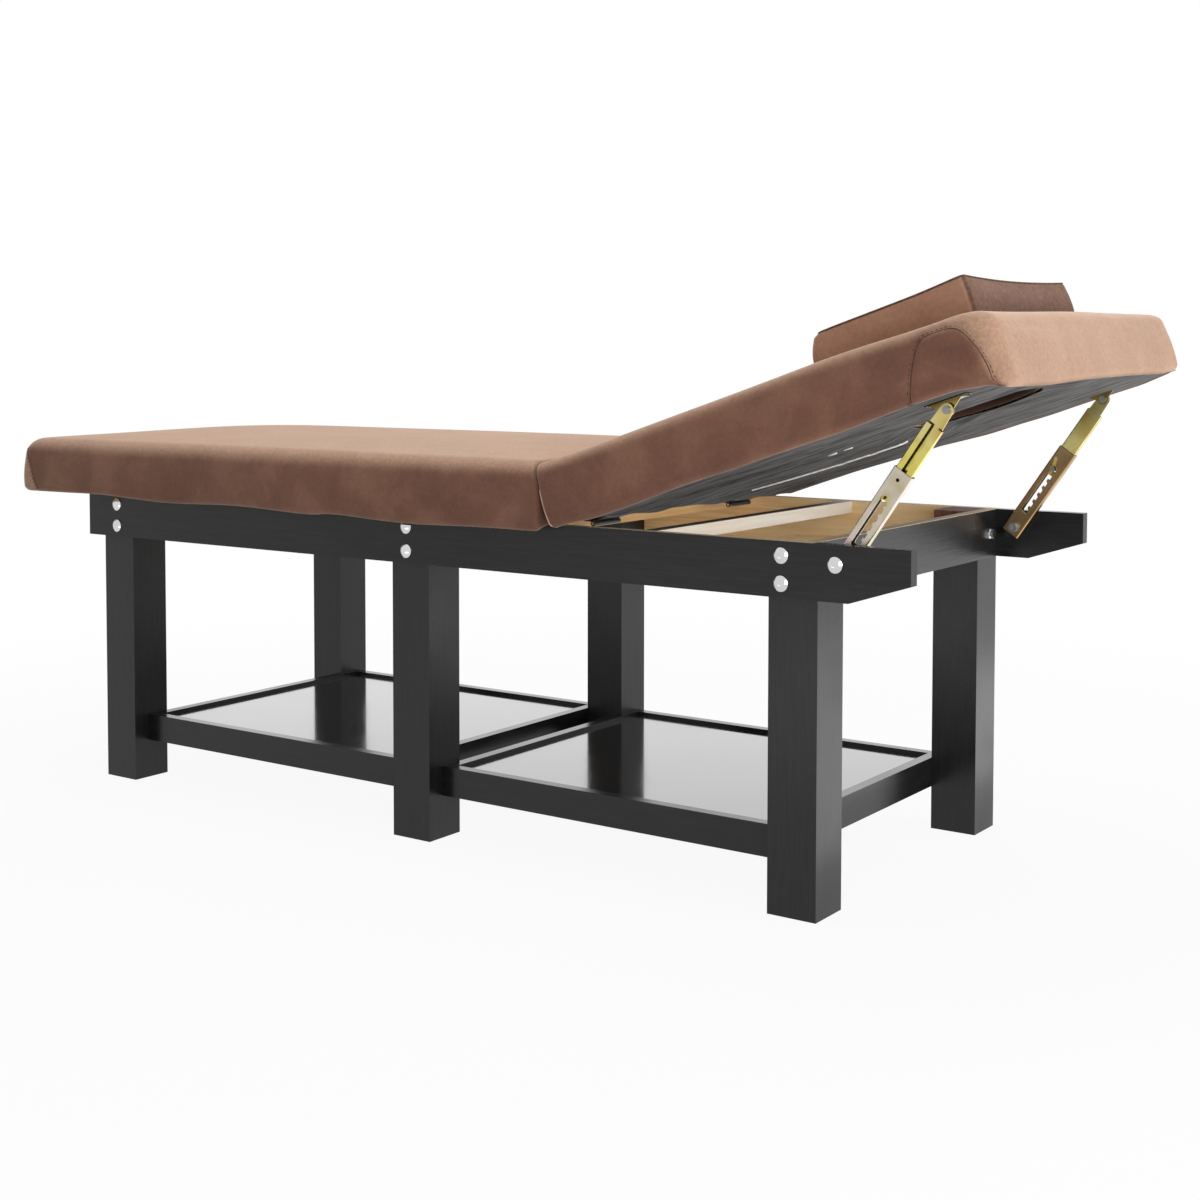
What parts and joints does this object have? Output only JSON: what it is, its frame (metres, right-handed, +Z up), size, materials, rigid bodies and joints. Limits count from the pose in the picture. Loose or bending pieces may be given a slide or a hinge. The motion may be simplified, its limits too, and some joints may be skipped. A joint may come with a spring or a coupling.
{
  "type": "massage bed",
  "caption": "Wooden massage bed on square legs with open shelves, suede pads, a backrest with face hole that tilts on ratchet struts, and a loose pillow.",
  "frame": {"origin": "on the floor, under the middle of the bed's length and width", "axes": "+X along the bed from the foot end to the head end, +Y across it, +Z up"},
  "size_m": [1.9032, 0.724, 0.8722],
  "materials": {
    "black_lacquer": "gloss",
    "bare_wood": "matte",
    "plywood": "matte",
    "suede": "matte",
    "pillow_suede": "matte",
    "foam": "matte",
    "lining": "matte",
    "chrome": "polished",
    "yellow_zinc": "satin",
    "steel": "satin"
  },
  "bodies": {
    "frame": {"apron_bolts": "steel", "foot_apron": "black_lacquer", "foot_bay_slat_footward": "bare_wood", "foot_bay_slat_headward": "bare_wood", "foot_shelf_back_rail": "black_lacquer", "foot_shelf_foot_rail": "black_lacquer", "foot_shelf_front_rail": "black_lacquer", "foot_shelf_head_rail": "black_lacquer", "foot_shelf_panel": "black_lacquer", "head_apron": "black_lacquer", "head_bay_slat_footward": "bare_wood", "head_bay_slat_headward": "bare_wood", "head_shelf_back_rail": "black_lacquer", "head_shelf_foot_rail": "black_lacquer", "head_shelf_front_rail": "black_lacquer", "head_shelf_head_rail": "black_lacquer", "head_shelf_panel": "black_lacquer", "hinge_pins": "steel", "hinge_seat_leaf_far": "steel", "hinge_seat_leaf_near": "steel", "hinge_seat_screws": "steel", "leg_foot_far": "black_lacquer", "leg_foot_near": "black_lacquer", "leg_head_far": "black_lacquer", "leg_head_near": "black_lacquer", "leg_middle_far": "black_lacquer", "leg_middle_near": "black_lacquer", "pivot_bolts": "chrome", "pivot_nuts": "steel", "pivot_washers": "steel", "rail_bolt_inserts": "steel", "rail_bolts": "chrome", "seat_board": "plywood", "seat_cover": "suede", "seat_foam": "foam", "seat_screws": "steel", "shelf_screws": "steel", "side_rail_far": "black_lacquer", "side_rail_near": "black_lacquer"},
    "backrest": {"backrest_board": "plywood", "backrest_cover": "suede", "backrest_foam": "foam", "backrest_lining": "lining", "backrest_screws": "steel", "hinge_backrest_leaf_far": "steel", "hinge_backrest_leaf_near": "steel", "rivet_tails": "steel", "strut_blocks": "black_lacquer", "strut_bracket_far": "yellow_zinc", "strut_bracket_near": "yellow_zinc"},
    "near_sleeve": {"strut_sleeve_near": "yellow_zinc"},
    "near_rod": {"rivet_head_near": "steel", "strut_rod_near": "yellow_zinc"},
    "near_pawl": {"pawl_pin_near": "steel"},
    "far_sleeve": {"strut_sleeve_far": "yellow_zinc"},
    "far_rod": {"rivet_head_far": "steel", "strut_rod_far": "yellow_zinc"},
    "far_pawl": {"pawl_pin_far": "steel"},
    "pillow": {"pillow_cover": "pillow_suede", "pillow_foam": "foam"}
  },
  "joints": [
    {"name": "backrest_tilt", "type": "hinge", "parent": "frame", "child": "backrest", "pos_m": [0.25639, 0, 0.513], "axis": [0, -1, 0], "range_deg": [-19, 0]},
    {"name": "near_strut_swing", "type": "hinge", "parent": "frame", "child": "near_sleeve", "pos_m": [0.70939, 0, 0.4915], "axis": [0, -1, 0], "range_deg": [-54.47, 0]},
    {"name": "near_strut_slide", "type": "slide", "parent": "near_sleeve", "child": "near_rod", "axis": [0.5657, 0, 0.8246], "range_m": [-0.08102, 0]},
    {"name": "near_pawl_click", "type": "slide", "parent": "near_rod", "child": "near_pawl", "axis": [0.8246, 0, -0.5657], "range_m": [0, 0.0035]},
    {"name": "far_strut_swing", "type": "hinge", "parent": "frame", "child": "far_sleeve", "pos_m": [0.70939, 0, 0.4915], "axis": [0, -1, 0], "range_deg": [-54.47, 0]},
    {"name": "far_strut_slide", "type": "slide", "parent": "far_sleeve", "child": "far_rod", "axis": [0.5657, 0, 0.8246], "range_m": [-0.08102, 0]},
    {"name": "far_pawl_click", "type": "slide", "parent": "far_rod", "child": "far_pawl", "axis": [0.8246, 0, -0.5657], "range_m": [0, 0.0035]},
    {"name": "pillow_lift", "type": "slide", "parent": "backrest", "child": "pillow", "axis": [-0.3256, 0, 0.9455], "range_m": [0, 0.25]}
  ],
  "couplings": [
    {"joint": "near_strut_swing", "follows": "backrest_tilt", "ratio": 2.867},
    {"joint": "near_strut_slide", "follows": "backrest_tilt", "m_per_rad": 0.24433},
    {"joint": "far_strut_swing", "follows": "backrest_tilt", "ratio": 2.867},
    {"joint": "far_strut_slide", "follows": "backrest_tilt", "m_per_rad": 0.24433}
  ]
}
